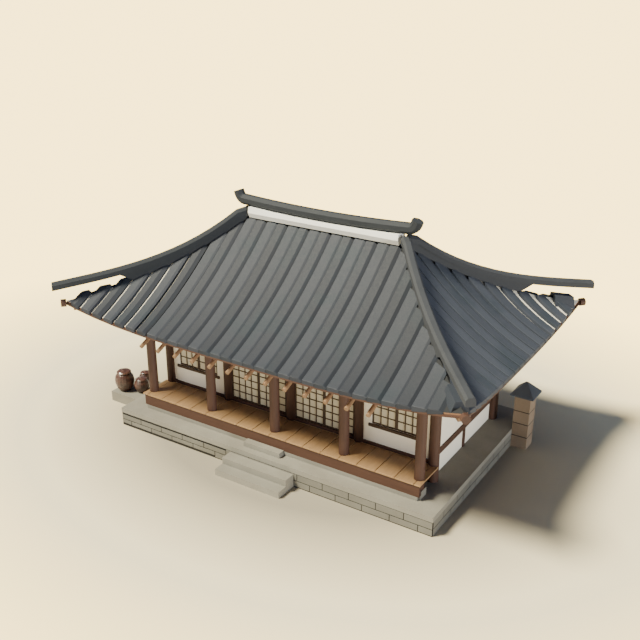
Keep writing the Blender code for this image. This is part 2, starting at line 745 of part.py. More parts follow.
def make_hip_ridges():
    along = (hip_point(1) - hip_point(0)).normalized()
    across = Vector((-along.y, along.x, 0))
    step = 1 / ROOF_STATIONS
    ts = [HIP_START_T] + [k * step for k in range(1, ROOF_STATIONS + 1)] + [HIP_END_T]
    corners = (("left_front", -1, -1), ("right_front", 1, -1), ("left_rear", -1, 1), ("right_rear", 1, 1))
    for word, side, sign in corners:
        sections = []
        for t in ts:
            top = hip_top(t)
            low = top - HIP_HEIGHT
            neck = low - 0.012
            seat = neck
            if t <= HIP_NECK_END_T:
                seat = built_crease(t) + 0.0006
                neck = seat + 0.004
            centre = hip_point(t)
            outline = ((-HIP_HALF, low), (-HIP_NECK_HALF, low - 0.002), (-HIP_NECK_HALF, neck), (0, seat),
                       (HIP_NECK_HALF, neck), (HIP_NECK_HALF, low - 0.002), (HIP_HALF, low),
                       (HIP_HALF, top - 0.07), (HIP_HALF - 0.06, top), (-HIP_HALF + 0.06, top),
                       (-HIP_HALF, top - 0.07))
            section = []
            for offset, z in outline:
                p = centre + across * offset
                section.append((side * p.x, sign * p.y, z))
            sections.append(section)
        loft(f"hip_ridge_{word}", sections, "ridge_tile")


# Chimney and jars beside the platform

def make_chimney():
    box("chimney_stack", (CHIMNEY_X[0], CHIMNEY_Y[0], 0), (CHIMNEY_X[1], CHIMNEY_Y[1], CHIMNEY_TOP), "brick")
    centre = ((CHIMNEY_X[0] + CHIMNEY_X[1]) / 2, (CHIMNEY_Y[0] + CHIMNEY_Y[1]) / 2)
    diagonal = CHIMNEY_CAP_HALF * math.sqrt(2)
    rows = ((diagonal, CHIMNEY_TOP + GAP), (diagonal, CHIMNEY_TOP + CHIMNEY_CAP_EDGE), (0.05, CHIMNEY_CAP_TOP))
    loft("chimney_cap", [ring(centre, r, 4, z, math.pi / 4) for r, z in rows], "ridge_tile")


def make_jars():
    inner_x = -(PLATFORM_X - BASE_SETBACK) - GAP
    box("jar_stand", (JAR_STAND_X, JAR_STAND_Y[0], 0), (inner_x, JAR_STAND_Y[1], JAR_STAND_TOP), "stone")
    profile = ((0.56, 0.0), (0.82, 0.16), (0.98, 0.38), (1.0, 0.52), (0.93, 0.68), (0.76, 0.79),
               (0.66, 0.82), (0.74, 0.84), (0.74, 0.89), (0.62, 0.93), (0.3, 0.965), (0.12, 1.0))
    for name, (x, y, radius, height) in JARS.items():
        bottom = JAR_STAND_TOP + GAP
        rings = [ring((x, y), radius * r, 20, bottom + height * h) for r, h in profile]
        jar = loft(name, rings, "jar_glaze")
        shade_round(jar)


def main():
    clear_scene()
    make_platform()
    make_steps()
    make_floors()
    make_columns()
    make_front_frame()
    make_rear_frame()
    make_side_trims()
    make_front_walls()
    make_outer_walls()
    make_windows()
    make_doors()
    make_front_and_rear_rafters()
    make_side_rafters()
    make_roof()
    make_eave_boards()
    make_ridge()
    make_hip_ridges()
    make_chimney()
    make_jars()


main()
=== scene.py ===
import math

import bpy
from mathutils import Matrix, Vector


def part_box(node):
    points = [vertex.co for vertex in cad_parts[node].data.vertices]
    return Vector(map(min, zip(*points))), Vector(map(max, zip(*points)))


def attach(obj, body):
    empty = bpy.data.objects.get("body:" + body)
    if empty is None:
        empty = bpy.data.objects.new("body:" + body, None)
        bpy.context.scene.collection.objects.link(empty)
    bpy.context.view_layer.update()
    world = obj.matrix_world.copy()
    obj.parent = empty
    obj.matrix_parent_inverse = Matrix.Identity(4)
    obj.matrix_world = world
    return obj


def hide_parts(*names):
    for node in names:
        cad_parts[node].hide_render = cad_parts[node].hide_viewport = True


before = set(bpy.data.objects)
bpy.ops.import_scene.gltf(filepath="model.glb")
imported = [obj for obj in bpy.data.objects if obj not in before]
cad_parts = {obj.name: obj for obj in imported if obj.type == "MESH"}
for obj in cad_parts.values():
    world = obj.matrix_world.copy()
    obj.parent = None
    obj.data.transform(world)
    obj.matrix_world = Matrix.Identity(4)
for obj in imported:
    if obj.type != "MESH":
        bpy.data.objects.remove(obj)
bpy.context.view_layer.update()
print("frame loaded")

touch = 0.001  # what is closer than this counts as the same place


def clearSelection():
    if bpy.context.mode != "OBJECT":
        bpy.ops.object.mode_set(mode="OBJECT")
    bpy.ops.object.select_all(action="DESELECT")


def pick(*pieces):
    clearSelection()
    for piece in pieces:
        piece.select_set(True)
    bpy.context.view_layer.objects.active = pieces[0]


def addBlock(low, high):
    clearSelection()
    middle = [(a + b) / 2 for a, b in zip(low, high)]
    size = [b - a for a, b in zip(low, high)]
    bpy.ops.mesh.primitive_cube_add(size=1, location=middle, scale=size)
    bpy.ops.object.transform_apply(location=True, rotation=True, scale=True)
    return bpy.context.object


def choose(piece, kind, test):  # edit mode with the edges or faces that pass the test selected
    pick(piece)
    bpy.ops.object.mode_set(mode="EDIT")
    bpy.ops.mesh.select_mode(type=kind)
    bpy.ops.mesh.select_all(action="DESELECT")
    bpy.ops.object.mode_set(mode="OBJECT")
    points = piece.data.vertices
    if kind == "EDGE":
        for edge in piece.data.edges:
            edge.select = test(points[edge.vertices[0]].co, points[edge.vertices[1]].co)
    else:
        for face in piece.data.polygons:
            face.select = test(face.center, face.normal)
    bpy.ops.object.mode_set(mode="EDIT")


def leaveEdit():
    bpy.ops.object.mode_set(mode="OBJECT")


def faceOutwards(piece):
    pick(piece)
    bpy.ops.object.mode_set(mode="EDIT")
    bpy.ops.mesh.select_all(action="SELECT")
    bpy.ops.mesh.normals_make_consistent(inside=False)
    leaveEdit()


def masterBlock(bevel, segments=2):  # a unit block with eased edges, to be copied at any size
    piece = addBlock((-0.5, -0.5, -0.5), (0.5, 0.5, 0.5))
    choose(piece, "EDGE", lambda a, b: True)
    bpy.ops.mesh.bevel(offset=bevel, segments=segments, profile=0.6)
    leaveEdit()
    return piece


def ownCopy(master):
    piece = master.copy()
    piece.data = master.data.copy()
    bpy.context.collection.objects.link(piece)
    return piece


def setTint(piece, tint):  # read by the materials that vary from row to row or block to block
    data = piece.data.attributes.get("tint")
    data = data or piece.data.attributes.new("tint", "FLOAT", "POINT")
    data.data.foreach_set("value", [tint] * len(piece.data.vertices))


def fitCopy(master, low, high, tint=0.5):  # keeps the master's eased edges at their own width
    piece = ownCopy(master)
    for point in piece.data.vertices:
        for axis in range(3):
            at = point.co[axis]
            point.co[axis] = high[axis] - (0.5 - at) if at > 0 else low[axis] + (at + 0.5)
    setTint(piece, tint)
    return piece


def joinAs(name, pieces):
    pick(*pieces)
    if len(pieces) > 1:
        bpy.ops.object.join()
    piece = bpy.context.object
    piece.name = name
    piece.data.name = name
    return piece


def discard(*pieces):
    for piece in pieces:
        bpy.data.objects.remove(piece)


def finishPiece(piece, material, nodes=(), body="house"):
    piece.data.materials.clear()
    piece.data.materials.append(material)
    if nodes:
        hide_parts(*nodes)
    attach(piece, body)


def dress(material, *nodes):  # a CAD node keeps its shape and gets a better finish
    for name in nodes:
        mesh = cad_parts[name].data
        mesh.materials.clear()
        mesh.materials.append(material)


def vary(number):  # an even spread of values from 0 to 1, the same on every run
    return (math.sin(number * 12.9898) * 43758.5453) % 1


def addNode(tree, kind, **values):
    node = tree.nodes.new("ShaderNode" + kind)
    for key, value in values.items():
        if key in node.inputs:
            node.inputs[key].default_value = value
        else:
            setattr(node, key, value)
    return node


def calc(tree, operation, first, second=None, third=None):
    node = tree.nodes.new("ShaderNodeMath")
    node.operation = operation
    for index, value in enumerate((first, second, third)):
        if value is None:
            continue
        if isinstance(value, (int, float)):
            node.inputs[index].default_value = value
        else:
            tree.links.new(value, node.inputs[index])
    return node.outputs[0]


def shareOf(tree, first, share, second):  # a share of the first value, the rest of the second
    return calc(tree, "MULTIPLY_ADD", first, share, calc(tree, "MULTIPLY", second, 1 - share))


def colourOf(rgb):  # sRGB 0 to 255 to linear
    return [((c / 255) / 12.92 if c < 10 else ((c / 255 + 0.055) / 1.055) ** 2.4)
            for c in rgb] + [1.0]


def blendColour(tree, factor, first, second):
    node = addNode(tree, "Mix", data_type="RGBA")
    for socket, value in zip((node.inputs["Factor"], node.inputs[6], node.inputs[7]),
                             (factor, first, second)):
        if isinstance(value, (int, float, list)):
            socket.default_value = value
        else:
            tree.links.new(value, socket)
    return node.outputs[2]


def span(tree, value, low, high, toLow, toHigh):
    node = addNode(tree, "MapRange", clamp=True)
    tree.links.new(value, node.inputs["Value"])
    for key, number in (("From Min", low), ("From Max", high), ("To Min", toLow),
                        ("To Max", toHigh)):
        node.inputs[key].default_value = number
    return node.outputs["Result"]


def startMaterial(name):
    material = bpy.data.materials.new(name)
    material.use_nodes = True
    tree = material.node_tree
    place = tree.nodes.new("ShaderNodeTexCoord").outputs["Object"]
    return material, tree, tree.nodes["Principled BSDF"], place


def noise(tree, vector, scale, detail=4.0, roughness=0.55, distortion=0.0):
    node = addNode(tree, "TexNoise", Scale=scale, Detail=detail, Roughness=roughness,
                   Distortion=distortion)
    tree.links.new(vector, node.inputs["Vector"])
    return node.outputs["Fac"]


def stretched(tree, vector, scale):
    node = addNode(tree, "Mapping", Scale=scale)
    tree.links.new(vector, node.inputs["Vector"])
    return node.outputs["Vector"]


def axesOf(tree, vector):
    node = tree.nodes.new("ShaderNodeSeparateXYZ")
    tree.links.new(vector, node.inputs[0])
    return node.outputs


def tintOf(tree):
    return addNode(tree, "Attribute", attribute_name="tint").outputs["Fac"]


def toned(tree, colour, amount):  # multiplies a colour by a value
    node = tree.nodes.new("ShaderNodeVectorMath")
    node.operation = "SCALE"
    tree.links.new(colour, node.inputs[0])
    tree.links.new(amount, node.inputs["Scale"])
    return node.outputs["Vector"]


def varied(tree, colour, look):  # lighter or darker by the tint, where the look has a spread
    if "spread" not in look:
        return colour
    return toned(tree, colour, span(tree, tintOf(tree), 0, 1, 1 - look["spread"],
                                    1 + look["spread"]))


def roughen(tree, shader, height, strength, distance):
    bump = addNode(tree, "Bump", Strength=strength, Distance=distance)
    tree.links.new(height, bump.inputs["Height"])
    tree.links.new(bump.outputs["Normal"], shader.inputs["Normal"])


grainScale = {"x": (0.9, 16, 16), "y": (16, 0.9, 16), "z": (16, 16, 0.9)}
framePost = {"pitch": 2.4, "pitchesAside": 8, "half": 0.164}
sidePost = {"at": 0.37, "half": 0.067}


def postVector(tree, place, fromPost, half, levelAxis):  # upright grain on posts, level elsewhere
    onPost = calc(tree, "LESS_THAN", calc(tree, "ABSOLUTE", fromPost), half)
    mix = addNode(tree, "Mix", data_type="VECTOR")
    tree.links.new(onPost, mix.inputs["Factor"])
    tree.links.new(stretched(tree, place, grainScale[levelAxis]), mix.inputs[4])
    tree.links.new(stretched(tree, place, grainScale["z"]), mix.inputs[5])
    return mix.outputs[1]


def frameVector(tree, place):  # the wall frames have a post at x = 0 and one at every pitch
    pitch = framePost["pitch"]
    shifted = calc(tree, "ADD", axesOf(tree, place)[0],
                   pitch / 2 + pitch * framePost["pitchesAside"])
    fromPost = calc(tree, "SUBTRACT", calc(tree, "FLOORED_MODULO", shifted, pitch), pitch / 2)
    return postVector(tree, place, fromPost, framePost["half"], "x")


def railVector(tree, place):  # the side walls have level rails and one slim post
    fromPost = calc(tree, "SUBTRACT", axesOf(tree, place)[1], sidePost["at"])
    return postVector(tree, place, fromPost, sidePost["half"], "y")


woodShade = {"rampFrom": 0.3, "rampTo": 0.7, "streakShare": 0.35, "weather": 0.8, "specular": 0.35,
             "bump": 0.35, "depth": 0.004}


def woodFinish(name, look, grain):
    material, tree, shader, place = startMaterial(name)
    if grain == "frame":
        vector = frameVector(tree, place)
    elif grain == "rail":
        vector = railVector(tree, place)
    else:
        vector = stretched(tree, place, grainScale[grain])
    rings = noise(tree, vector, look["grain"], 6, 0.6, 0.8)
    streak = noise(tree, vector, look["grain"] * 4, 3, 0.7)
    ramp = tree.nodes.new("ShaderNodeValToRGB")
    ends = ramp.color_ramp.elements
    ends[0].position, ends[1].position = woodShade["rampFrom"], woodShade["rampTo"]
    ends[0].color, ends[1].color = colourOf(look["dark"]), colourOf(look["light"])
    tree.links.new(shareOf(tree, streak, woodShade["streakShare"], rings), ramp.inputs[0])
    weather = span(tree, noise(tree, place, woodShade["weather"], 3), 0.3, 0.7,
                   1 - look["patch"], 1 + look["patch"])
    colour = varied(tree, toned(tree, ramp.outputs[0], weather), look)
    tree.links.new(colour, shader.inputs["Base Color"])
    tree.links.new(span(tree, streak, 0.2, 0.8, *look["gloss"]), shader.inputs["Roughness"])
    shader.inputs["Specular IOR Level"].default_value = woodShade["specular"]
    roughen(tree, shader, streak, woodShade["bump"], woodShade["depth"])
    return material


woodLook = {
    "timber": {"dark": (68, 45, 34), "light": (81, 55, 42), "grain": 1.6, "patch": 0.05,
               "gloss": (0.5, 0.72)},
    "deck": {"dark": (143, 113, 79), "light": (169, 135, 96), "grain": 1.5, "patch": 0.05,
             "gloss": (0.42, 0.62), "spread": 0.05},
    "rafter": {"dark": (120, 92, 66), "light": (146, 116, 86), "grain": 2.2, "patch": 0.05,
               "gloss": (0.55, 0.75)},
    "lattice": {"dark": (52, 38, 24), "light": (72, 54, 36), "grain": 3.0, "patch": 0.05,
                "gloss": (0.5, 0.7)},
}
timberAlong = {axis: woodFinish("timber_along_" + axis, woodLook["timber"], axis) for axis in "xyz"}
timberFrame = woodFinish("timber_wall_frame", woodLook["timber"], "frame")
timberRail = woodFinish("timber_side_rail", woodLook["timber"], "rail")
deckBoard = woodFinish("deck_board", woodLook["deck"], "y")
rafterAlong = {axis: woodFinish("rafter_along_" + axis, woodLook["rafter"], axis) for axis in "xy"}
latticeWood = woodFinish("lattice_wood", woodLook["lattice"], "z")
sillWood = woodFinish("sill_wood", woodLook["lattice"], "x")

mineralShade = {"speckShare": 0.4, "blendFrom": 0.35, "blendTo": 0.65, "specular": 0.3}
mineralLook = {
    "stone": {"dark": (122, 118, 107), "light": (138, 134, 123), "blotch": 1.1, "speck": 38,
              "gloss": (0.78, 0.92), "bump": 0.25, "depth": 0.004},
    # the course blocks are the slabs' stone toned darker, as painted shade under the capstones
    "block": {"dark": (103, 100, 91), "light": (116, 113, 103), "blotch": 1.1, "speck": 38,
              "gloss": (0.78, 0.92), "bump": 0.25, "depth": 0.004, "spread": 0.05},
    "mortar": {"dark": (26, 25, 22), "light": (36, 34, 30), "blotch": 2.0, "speck": 60,
               "gloss": (0.9, 0.98), "bump": 0.3, "depth": 0.003},
    "plaster": {"dark": (240, 231, 212), "light": (249, 241, 223), "blotch": 0.7, "speck": 55,
                "gloss": (0.82, 0.95), "bump": 0.18, "depth": 0.002},
    "ridgePlaster": {"dark": (251, 248, 238), "light": (255, 254, 246), "blotch": 0.9,
                     "speck": 45, "gloss": (0.8, 0.92), "bump": 0.15, "depth": 0.002},
    "chimney": {"dark": (123, 106, 87), "light": (139, 121, 102), "blotch": 1.6, "speck": 42,
                "gloss": (0.8, 0.93), "bump": 0.3, "depth": 0.003, "spread": 0.04},
    "ridgeClay": {"dark": (42, 45, 49), "light": (51, 54, 58), "blotch": 1.3, "speck": 34,
                  "gloss": (0.62, 0.8), "bump": 0.2, "depth": 0.003},
    # the hips are the ridge clay, toned darker on the left as painted shade and lighter on the
    # right as painted light
    "hipLeftPaintedShade": {"dark": (42, 45, 49), "light": (50, 53, 57), "blotch": 1.3, "speck": 34,
                "gloss": (0.7, 0.85), "bump": 0.2, "depth": 0.003},
    "hipRightPaintedLight": {"dark": (54, 56, 60), "light": (63, 65, 69), "blotch": 1.3, "speck": 34,
                 "gloss": (0.62, 0.8), "bump": 0.2, "depth": 0.003},
    "chimneyTile": {"dark": (64, 69, 77), "light": (74, 80, 89), "blotch": 1.3, "speck": 34,
                    "gloss": (0.62, 0.8), "bump": 0.2, "depth": 0.003},
    "floorPaper": {"dark": (196, 168, 112), "light": (214, 188, 134), "blotch": 0.9, "speck": 30,
                   "gloss": (0.35, 0.5), "bump": 0.08, "depth": 0.001},
}


def mineralFinish(name, look):
    material, tree, shader, place = startMaterial(name)
    blotch = noise(tree, place, look["blotch"], 5)
    speck = noise(tree, place, look["speck"], 3, 0.7)
    mixed = shareOf(tree, speck, mineralShade["speckShare"], blotch)
    blend = span(tree, mixed, mineralShade["blendFrom"], mineralShade["blendTo"], 0, 1)
    colour = blendColour(tree, blend, colourOf(look["dark"]), colourOf(look["light"]))
    tree.links.new(varied(tree, colour, look), shader.inputs["Base Color"])
    tree.links.new(span(tree, mixed, 0.3, 0.7, *look["gloss"]), shader.inputs["Roughness"])
    shader.inputs["Specular IOR Level"].default_value = mineralShade["specular"]
    roughen(tree, shader, mixed, look["bump"], look["depth"])
    return material


stoneSlab = mineralFinish("stone_slab", mineralLook["stone"])
# the blocks' darker tone is painted shade
stoneBlockPaintedShade = mineralFinish("stone_block_painted_shade", mineralLook["block"])
mortar = mineralFinish("stone_joint", mineralLook["mortar"])
wallPlaster = mineralFinish("wall_plaster", mineralLook["plaster"])
ridgePlaster = mineralFinish("ridge_plaster", mineralLook["ridgePlaster"])
chimneyBlock = mineralFinish("chimney_block", mineralLook["chimney"])
ridgeClay = mineralFinish("ridge_clay", mineralLook["ridgeClay"])
hipLeftPaintedShade = mineralFinish("hip_ridge_left", mineralLook["hipLeftPaintedShade"])
hipRightPaintedLight = mineralFinish("hip_ridge_right", mineralLook["hipRightPaintedLight"])
chimneyTile = mineralFinish("chimney_tile", mineralLook["chimneyTile"])
floorPaper = mineralFinish("oiled_floor_paper", mineralLook["floorPaper"])

patternShift = 20  # keeps the places that a modulo reads above zero
tileLook = {"dark": (34, 37, 45), "light": (66, 70, 79), "cool": (34, 46, 53), "coolShare": 0.4,
            "coolFrom": 0.5, "coolTo": 0.68, "cloud": 0.9, "fine": 30, "fineTone": (0.965, 1.035),
            "course": 0.34, "courseJoint": 0.02, "courseDepth": 0.06, "courseBump": 1.5,
            "gloss": (0.55, 0.75), "specular": 0.35, "bump": 0.25, "depth": 0.004}


def tileFinish(name, look, axis):  # clay tiles; axis is the one their rows of joints cross
    material, tree, shader, place = startMaterial(name)
    tone = blendColour(tree, tintOf(tree), colourOf(look["dark"]), colourOf(look["light"]))
    cloud = noise(tree, place, look["cloud"], 4)
    cool = span(tree, cloud, look["coolFrom"], look["coolTo"], 0, look["coolShare"])
    tone = blendColour(tree, cool, tone, colourOf(look["cool"]))
    fine = noise(tree, place, look["fine"], 3, 0.7)
    tone = toned(tree, tone, span(tree, fine, 0.25, 0.75, *look["fineTone"]))
    shifted = calc(tree, "ADD", axesOf(tree, place)[axis], patternShift)
    run = calc(tree, "FLOORED_MODULO", shifted, look["course"])
    joint = span(tree, run, 0.0, look["courseJoint"], 1 - look["courseDepth"], 1)
    tree.links.new(toned(tree, tone, joint), shader.inputs["Base Color"])
    tree.links.new(span(tree, fine, 0.3, 0.7, *look["gloss"]), shader.inputs["Roughness"])
    shader.inputs["Specular IOR Level"].default_value = look["specular"]
    height = calc(tree, "MULTIPLY_ADD", joint, look["courseBump"], fine)
    roughen(tree, shader, height, look["bump"], look["depth"])
    return material


frontTile = tileFinish("roof_tile_front", tileLook, 1)
sideTile = tileFinish("roof_tile_side", tileLook, 0)

# the bedding's dark clay is painted shade and its pale clay painted light, in the gaps between the
# tile rows
bedLook = {"board": (150, 112, 82), "boardEdge": (120, 86, 62), "pale": (222, 214, 196),
           "paintedShadeClay": (30, 31, 33), "frontPale": (3.8, 4.2), "sidePale": (1.6, 2.4), "clay": 14,
           "clayTone": (0.94, 1.04), "grain": 1.8, "seam": 0.24, "seamWidth": 0.015,
           "seamTone": 0.55, "underTilt": 0.1, "roughness": 0.85, "bump": 0.2, "depth": 0.003}


def beddingFinish(name, look, axis):
    # the bedding above is painted dark as shade and pale near one end as painted light; boards
    # below; axis runs across the tile rows
    material, tree, shader, place = startMaterial(name)
    axes = axesOf(tree, place)
    facing = axesOf(tree, tree.nodes.new("ShaderNodeNewGeometry").outputs["Normal"])
    toPale = calc(tree, "MULTIPLY", axes[0], -1) if axis == 0 else axes[1]
    start, end = look["frontPale"] if axis == 0 else look["sidePale"]
    clay = blendColour(tree, span(tree, toPale, start, end, 0, 1), colourOf(look["paintedShadeClay"]),
                       colourOf(look["pale"]))
    clouds = noise(tree, place, look["clay"], 4)
    clay = toned(tree, clay, span(tree, clouds, 0.3, 0.7, *look["clayTone"]))
    shifted = calc(tree, "ADD", axes[1 - axis], patternShift)
    seam = calc(tree, "FLOORED_MODULO", shifted, look["seam"])
    grain = noise(tree, stretched(tree, place, grainScale["xy"[axis]]), look["grain"], 5, 0.6, 0.6)
    board = blendColour(tree, grain, colourOf(look["boardEdge"]), colourOf(look["board"]))
    board = toned(tree, board, span(tree, seam, 0.0, look["seamWidth"], look["seamTone"], 1))
    under = calc(tree, "LESS_THAN", facing[2], look["underTilt"])
    tree.links.new(blendColour(tree, under, clay, board), shader.inputs["Base Color"])
    shader.inputs["Roughness"].default_value = look["roughness"]
    roughen(tree, shader, grain, look["bump"], look["depth"])
    return material


frontBedding = beddingFinish("roof_bedding_front", bedLook, 0)
sideBedding = beddingFinish("roof_bedding_side", bedLook, 1)

paperLook = {"dark": (192, 182, 155), "light": (206, 197, 173), "fibre": 26, "stretch": (1, 1, 3),
             "cloud": 1.5, "fibreShare": 0.5, "roughness": 0.8, "specular": 0.25, "bump": 0.2,
             "depth": 0.001}


def paperFinish(look):
    material, tree, shader, place = startMaterial("door_paper")
    fibre = noise(tree, stretched(tree, place, look["stretch"]), look["fibre"], 4, 0.7, 1.2)
    mixed = shareOf(tree, fibre, look["fibreShare"], noise(tree, place, look["cloud"], 3))
    colour = blendColour(tree, span(tree, mixed, 0.35, 0.65, 0, 1), colourOf(look["dark"]),
                         colourOf(look["light"]))
    tree.links.new(colour, shader.inputs["Base Color"])
    shader.inputs["Roughness"].default_value = look["roughness"]
    shader.inputs["Specular IOR Level"].default_value = look["specular"]
    roughen(tree, shader, fibre, look["bump"], look["depth"])
    return material


doorPaper = paperFinish(paperLook)

jarLook = {"dark": (56, 37, 30), "light": (86, 58, 48), "drip": 7, "stretch": (1, 1, 0.35),
           "speck": 60, "gloss": (0.26, 0.42), "coat": 0.25, "bump": 0.15, "depth": 0.004}


def glazeFinish(look):
    material, tree, shader, place = startMaterial("jar_glaze")
    drip = noise(tree, stretched(tree, place, look["stretch"]), look["drip"], 5, 0.65, 0.5)
    speck = noise(tree, place, look["speck"], 2)
    colour = blendColour(tree, span(tree, drip, 0.35, 0.65, 0, 1), colourOf(look["dark"]),
                         colourOf(look["light"]))
    tree.links.new(colour, shader.inputs["Base Color"])
    tree.links.new(span(tree, speck, 0.3, 0.7, *look["gloss"]), shader.inputs["Roughness"])
    shader.inputs["Coat Weight"].default_value = look["coat"]
    roughen(tree, shader, drip, look["bump"], look["depth"])
    return material


jarGlaze = glazeFinish(jarLook)
print("finishes made")

# the roof's curves as the CAD slopes have them: t goes from 0 at the ridge to 1 at the eave, and q
# from 0 in the middle of a slope to 1 at its hip
roofForm = {"ridgeHalf": 2.7, "run": 3.92, "depth": 4.27, "frontBow": 0.22, "sideBow": 0.20,
            "eave": 3.905, "rise": 1.64, "sag": 1.16, "sweep": 0.53, "sweepPower": 1.37,
            "frontCurl": 3.6, "sideCurl": 3.0, "steps": 6}


def creaseRise(t):
    return roofForm["sweep"] * max(t, 0) ** roofForm["sweepPower"]


def slopeHeight(t, q, curl):
    s = 1 - t
    middle = roofForm["eave"] + roofForm["rise"] * s + roofForm["sag"] * s * s
    return middle + creaseRise(t) * min(abs(q), 1) ** curl


def frontHeight(x, y):
    form, t, q = roofForm, abs(y) / roofForm["depth"], 0
    for _ in range(form["steps"]):
        q = min(abs(x) / (form["ridgeHalf"] + form["run"] * t), 1)
        t = abs(y) / (form["depth"] - form["frontBow"] * (1 - q ** 3))
    return slopeHeight(t, q, form["frontCurl"])


def sideHeight(x, y):
    form, out = roofForm, max(abs(x) - roofForm["ridgeHalf"], touch)
    t, q = out / form["run"], 0
    for _ in range(form["steps"]):
        q = min(abs(y) / (form["depth"] * t), 1)
        t = out / (form["run"] - form["sideBow"] * (1 - q ** 3))
    return slopeHeight(t, q, form["sideCurl"])


def hipDepth(x):  # how far from the ridge the hip line is at this x
    return max((abs(x) - roofForm["ridgeHalf"]) / roofForm["run"], 0) * roofForm["depth"]


def hipRun(y):  # how far from the middle the hip line is at this y
    return roofForm["ridgeHalf"] + roofForm["run"] * abs(y) / roofForm["depth"]


def frontEave(x):
    q = min(abs(x) / (roofForm["ridgeHalf"] + roofForm["run"]), 1)
    return roofForm["depth"] - roofForm["frontBow"] * (1 - q ** 3)


def sideEave(y):
    q = min(abs(y) / roofForm["depth"], 1)
    return roofForm["ridgeHalf"] + roofForm["run"] - roofForm["sideBow"] * (1 - q ** 3)


# a flank is the width and the drop of a row's sloping edge
strips = {
    "height": 0.095, "sunk": 0.03, "chamfer": 0.045, "segments": 1, "cuts": 20, "endBevel": 0.014,
    "endFrom": 0.965, "overhang": 0.05, "gap": 0.006, "sideGap": 0.012, "outerGap": 0.09,
    "frontOuter": -3.5, "sideOuter": 2.2, "level": 0.6, "ridgeStart": 0.14, "sideStart": 0.02,
    "tuck": 0.22, "tuckFrom": -4.1, "lastRow": 6.46,
    "flankLeft": (0.014, 0.014), "flankDark": (0.12, 0.068), "flankLight": (0.075, 0.032),
    "flankFront": (0.008, 0.008), "flankRear": (0.08, 0.036),
    # the front and side tints below carry painted light and shade on the tile rows
    "frontPaintedLightTints": (0.07, 0.31), "sidePaintedLightTints": (0.92, 0.72), "leftPaintedShade": 0.4, "tintSpread": 0.1,
    "frontJoints": [0.389 * n for n in range(10)] + [3.501 + 0.43 * n for n in range(1, 7)],
    "sideJoints": [0.197, 0.59, 0.98, 1.375, 1.77, 2.16, 2.59, 3.02, 3.45, 3.85],
}


def tileMaster(chamfer):  # one row of tiles, 1 m long and 1 m wide
    piece = addBlock((-0.5, 0, -strips["sunk"]), (0.5, 1, strips["height"]))
    top, end = strips["height"] - touch, 1 - touch
    choose(piece, "EDGE", lambda a, b: a.z > top and b.z > top and abs(a.y - b.y) > 0.5)
    bpy.ops.mesh.bevel(offset=chamfer, segments=strips["segments"], profile=0.5)
    leaveEdit()
    choose(piece, "EDGE", lambda a, b: abs(a.y - b.y) > 0.5)
    bpy.ops.mesh.subdivide(number_cuts=strips["cuts"])
    leaveEdit()
    choose(piece, "EDGE", lambda a, b: a.y > end and b.y > end and max(a.z, b.z) > 0)
    bpy.ops.mesh.bevel(offset=strips["endBevel"], segments=1)
    leaveEdit()
    return piece


def flankHeight(z, drop):  # the master's eased edge stretched or flattened to another drop
    height, edge = strips["height"], strips["chamfer"]
    down = height - z
    if down < edge:
        return height - down * drop / edge
    return z if z < 0 else height - drop - (down - edge) * (height - drop) / (height - edge)


def alongRow(y, first, last):  # stretches a row but for its eased end
    return last - (1 - y) if y > strips["endFrom"] else first + (last - first) * y


def layRow(centre, width, start, end, place, side, tint, flanks):
    # flanks are those towards the low and the high end of the axis across the rows
    row, edge = ownCopy(rowMaster), strips["chamfer"]
    for point in row.data.vertices:
        x, y, z = point.co
        wide, drop = flanks[0] if x < 0 else flanks[1]
        inward = (0.5 - abs(x)) * wide / edge
        across = width / 2 - inward if x > 0 else inward - width / 2
        along = alongRow(y, start(centre + across), end)
        point.co = place(side, centre, across, along, flankHeight(z, drop))
    setTint(row, tint)
    return row


def levelled(own, middle, z):  # a row's top is flatter across than the slope, its underside isn't
    return z + (own if z < 0 else own + (middle - own) * strips["level"])


def frontPlace(side, centre, across, along, z):
    x, y = centre + across, side * along
    return (x, y, levelled(frontHeight(x, y), frontHeight(centre, y), z))


def sidePlace(side, centre, across, along, z):
    x, y = side * along, centre + across
    return (x, y, levelled(sideHeight(x, y), sideHeight(x, centre), z))


def rowFlanks(light, hand):  # hand is 1 where +x is on the right of someone who looks at the slope
    right = strips["flankLight"] if light else strips["flankDark"]
    return (strips["flankLeft"], right) if hand > 0 else (right, strips["flankLeft"])


def finishSlope(name, rows, material):
    piece = joinAs(name, rows)
    faceOutwards(piece)
    finishPiece(piece, material)


rowMaster = tileMaster(strips["chamfer"])


def layFrontSlope(name, side):
    joints, rows = strips["frontJoints"] + [strips["lastRow"]], []
    for index in range(1, len(joints)):
        for hand in (-1, 1):
            low, high = joints[index - 1], joints[index]
            if high == strips["lastRow"] and not (side < 0 and hand < 0):
                continue  # the other corners end in a row laid along the hip
            centre = hand * (low + high) / 2
            outer = side < 0 and centre < strips["frontOuter"]
            width = high - low - strips["outerGap" if outer else "gap"]
            light = (index % 2 == 0) == (hand * -side > 0)
            # every other row, the one with the shallow flank, gets the lighter tint as painted
            # light
            tint = strips["frontPaintedLightTints"][light]
            tint += strips["tintSpread"] * (vary(index + 40 * hand) - 0.5)
            # the left front rows reach up under the hip ridge
            tuck = strips["tuck"] if side < 0 and centre < strips["tuckFrom"] else 0
            start = lambda x: max(hipDepth(x), hipDepth(centre), strips["ridgeStart"]) - tuck
            end = frontEave(centre) + strips["overhang"]
            rows.append(layRow(centre, width, start, end, frontPlace, side, tint,
                               rowFlanks(light, -side)))
    finishSlope(name, rows, frontTile)


